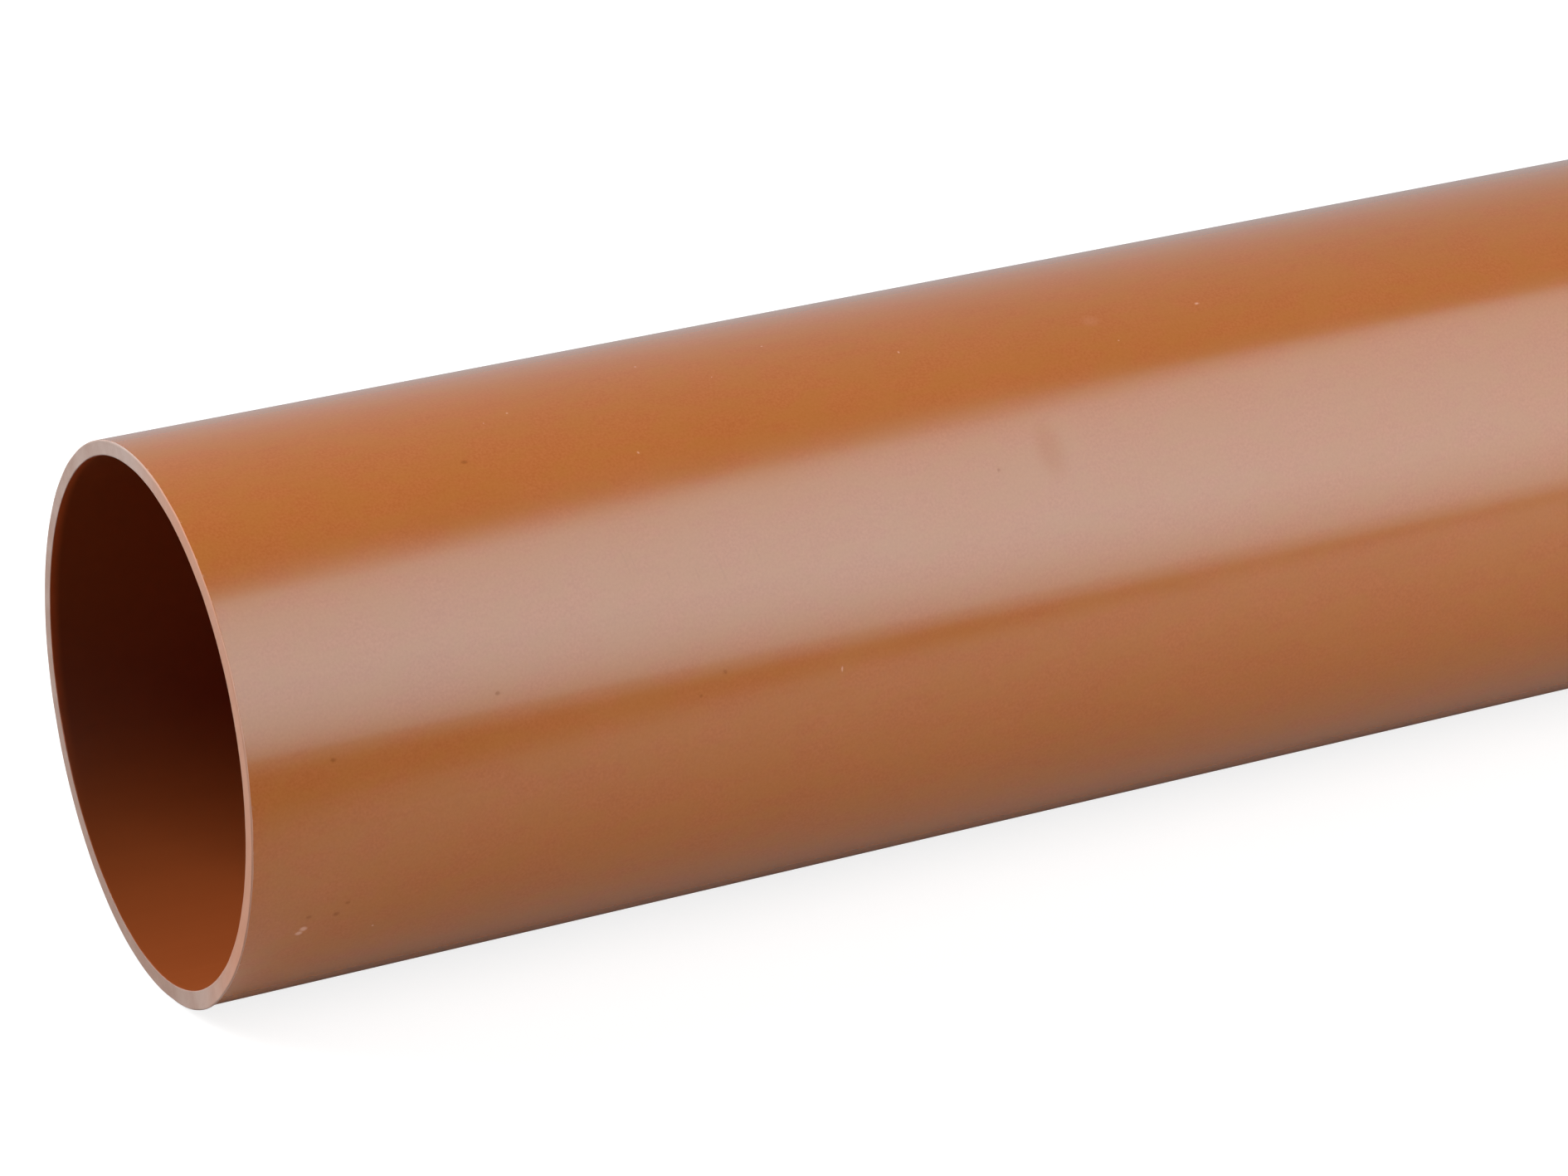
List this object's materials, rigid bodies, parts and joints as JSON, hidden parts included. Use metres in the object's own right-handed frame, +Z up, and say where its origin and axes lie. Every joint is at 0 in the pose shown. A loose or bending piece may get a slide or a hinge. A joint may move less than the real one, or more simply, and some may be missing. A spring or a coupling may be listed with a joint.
{
  "type": "plain-ended pvc drain pipe",
  "caption": "Plain-ended round PVC drain pipe: a straight open tube with square-cut, deburred ends that push-fit couplings slide over, for carrying waste water underground.",
  "frame": {"origin": "on the floor under the middle of the pipe's length, where its lowest line rests", "axes": "+X along the pipe, from the end that the picture shows to the end that it cuts off; +Z up; +Y level and square to the pipe"},
  "size_m": [3, 0.11, 0.1096],
  "materials": {
    "pvc": "satin"
  },
  "bodies": {
    "root": {"pipe": "pvc"}
  },
  "joints": []
}
